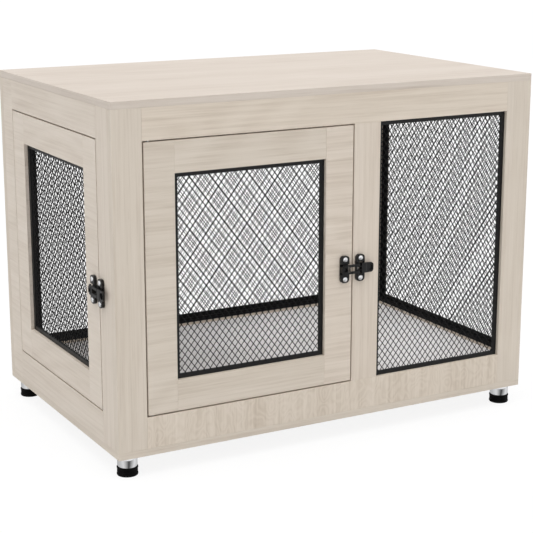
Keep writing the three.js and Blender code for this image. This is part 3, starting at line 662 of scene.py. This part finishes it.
def cross_cutter(matrix, turn):
    """An object of two crossed blocks, to cut a cross recess."""
    cutter = bmesh.new()
    size = Matrix.Diagonal((2 * RECESS_LENGTH, RECESS_WIDTH, CUTTER_HEIGHT, 1))
    lift = Matrix.Translation((0, 0, RECESS_BOTTOM + CUTTER_HEIGHT / 2))
    for angle in (turn, turn + math.pi / 2):
        spin = Matrix.Rotation(angle, 4, "Z")
        bmesh.ops.create_cube(cutter, size=1, matrix=matrix @ lift @ spin @ size)
    mesh = bpy.data.meshes.new("cutter")
    cutter.to_mesh(mesh)
    cutter.free()
    tool = bpy.data.objects.new("cutter", mesh)
    bpy.context.scene.collection.objects.link(tool)
    return tool


def screw(name, matrix, turn, body):
    """A domed cross-recess screw."""
    head = turned(SCREW_PROFILE, SCREW_SIDES, matrix)
    piece = piece_from(name, head, screw_chrome, body, TURNED_SMOOTH)
    tool = cross_cutter(matrix, turn)
    cut = piece.modifiers.new("recess", "BOOLEAN")
    cut.operation = "DIFFERENCE"
    cut.solver = "EXACT"
    cut.use_self = True
    cut.object = tool
    bpy.context.view_layer.update()
    graph = bpy.context.evaluated_depsgraph_get()
    made = bpy.data.meshes.new_from_object(piece.evaluated_get(graph))
    piece.modifiers.clear()
    piece.data = made
    bpy.data.objects.remove(tool)


def outward(point, axis):
    """A matrix at a point of a wall, with Z pointing out of the front or left wall."""
    if axis == Y:
        turn = Matrix(((1, 0, 0), (0, 0, -1), (0, 1, 0)))
    else:
        turn = Matrix(((0, 0, -1), (-1, 0, 0), (0, 1, 0)))
    return Matrix.Translation(point) @ turn.to_4x4()


for latch, door, axis in LATCHES:
    for part, body in (("door_plate", door), ("post_plate", "cabinet")):
        low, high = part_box(f"{latch}_{part}")
        middle = (low + high) / 2
        middle[axis] = high[axis]
        for spot, side, turn in SCREWS:
            place = middle + Vector((0, 0, side * SCREW_RISE))
            cross = turn + middle[1 - axis] * CROSS_TURN
            screw(f"{latch}_{part}_{spot}_screw", outward(place, axis), cross, body)

# ---- Stage ----------------------------------------------------------------------------------

FLOOR_HALF = 40.0
FLOOR_SEEN = 0.97
FLOOR_LIT = 0.8
FLOOR_WHITE_SHARE = 0.88
FLOOR_ROUGHNESS = 0.9
FLOOR_SPECULAR = 0.1


def stage_floor():
    """A white floor that keeps the object's shadow and looks whiter than it lights."""
    mesh = bmesh.new()
    bmesh.ops.create_grid(mesh, x_segments=1, y_segments=1, size=FLOOR_HALF)
    data = bpy.data.meshes.new("stage_floor")
    mesh.to_mesh(data)
    mesh.free()
    plane = bpy.data.objects.new("stage_floor", data)
    bpy.context.scene.collection.objects.link(plane)
    plane.visible_glossy = False
    n = Finish("stage_floor")
    path = n.add("LightPath").outputs
    seen = n.math("MAXIMUM", path["Is Camera Ray"], path["Is Glossy Ray"])
    seen = n.math("MAXIMUM", seen, path["Is Transmission Ray"])
    grey = n.add("CombineColor")
    for channel in ("Red", "Green", "Blue"):
        n.put(grey, channel, n.spread(seen, FLOOR_LIT, FLOOR_SEEN))
    n.shade(Base_Color=grey.outputs["Color"], Roughness=FLOOR_ROUGHNESS,
            Specular_IOR_Level=FLOOR_SPECULAR)
    white = n.add("Emission", Color=WHITE, Strength=1.0)
    share = n.math("MULTIPLY", seen, FLOOR_WHITE_SHARE)
    mix = n.add("MixShader", Fac=share, i1=n.shader.outputs["BSDF"], i2=white.outputs["Emission"])
    n.put(n.tree.nodes["Material Output"], "Surface", mix.outputs["Shader"])
    data.materials.append(n.material)


# ---- Light ----------------------------------------------------------------------------------

WORLD_STRENGTH = 0.6
STUDIO_LOW = 0.88  # how bright the studio is below the flag's top, beside the flag
STUDIO_REAR = 0.55  # how bright it is straight behind
STUDIO_REAR_START = -0.5  # where it starts to dim, as the Y of a direction
# A dark studio flag for chrome to reflect: its direction, its reach to each side, and how dark
# it is. It ends at a height, given as the Z of a direction, and fades over a little below that.
FLAG_DIRECTION = math.radians(-94.7)
FLAG_HALF = math.radians(70)
FLAG_DARK = 0.04
FLAG_TOP = -0.12
FLAG_FADE = 0.08

# The sun stands for a large soft lamp overhead. The other lamp lights the cabin from its roof.
SUN_PLACE = (-0.35, -0.45, 3.0)
SUN_ENERGY = 2.2
SUN_ANGLE = math.radians(60)
CABIN_LAMP_PLACE = (0.23, 0, 0.585)
CABIN_LAMP_AIM = (0.23, 0, 0.1)
CABIN_LAMP_SIZE = (0.32, 0.44)
CABIN_LAMP_ENERGY = 1.7


def world_light():
    """Even white light. Reflections see a studio, dimmer behind, with a soft dark flag."""
    world = bpy.data.worlds.new("studio")
    bpy.context.scene.world = world
    world.use_nodes = True
    n = Tree(world.node_tree)
    generated = n.add("TexCoord").outputs["Generated"]
    direction = n.add("SeparateXYZ", Vector=generated).outputs
    turn = n.math("ARCTAN2", direction["Y"], direction["X"])
    away = n.math("ABSOLUTE", n.math("SUBTRACT", turn, FLAG_DIRECTION))
    flag = n.spread(away, FLAG_DARK, STUDIO_LOW, 0.0, FLAG_HALF)
    above = n.spread(direction["Z"], 0.0, 1.0, FLAG_TOP - FLAG_FADE, FLAG_TOP)
    rear = n.spread(direction["Y"], 1.0, STUDIO_REAR, STUDIO_REAR_START, 1.0)
    studio = n.math("MULTIPLY", n.math("MAXIMUM", flag, above), rear)
    path = n.add("LightPath").outputs
    seen = n.math("MAXIMUM", path["Is Camera Ray"], path["Is Transmission Ray"])
    plain = n.spread(seen, WORLD_STRENGTH, 1.0)
    glossy = path["Is Glossy Ray"]
    share = n.math("MULTIPLY", plain, n.math("SUBTRACT", 1.0, glossy))
    background = n.tree.nodes["Background"]
    n.put(background, "Color", WHITE)
    n.put(background, "Strength", n.math("MULTIPLY_ADD", studio, glossy, share))


def lamp(name, kind, place, aim, **settings):
    """A lamp that lights the object and is not seen, by the camera or in a reflection."""
    data = bpy.data.lights.new(name, kind)
    for key, value in settings.items():
        setattr(data, key, value)
    item = bpy.data.objects.new(name, data)
    item.location = place
    item.rotation_euler = (Vector(aim) - Vector(place)).to_track_quat("-Z", "Y").to_euler()
    item.visible_camera = False
    item.visible_glossy = False
    bpy.context.scene.collection.objects.link(item)


stage_floor()
world_light()
lamp("overhead", "SUN", SUN_PLACE, (0, 0, 0), energy=SUN_ENERGY, angle=SUN_ANGLE)
lamp("cabin_fill", "AREA", CABIN_LAMP_PLACE, CABIN_LAMP_AIM, shape="RECTANGLE",
     size=CABIN_LAMP_SIZE[0], size_y=CABIN_LAMP_SIZE[1], energy=CABIN_LAMP_ENERGY)
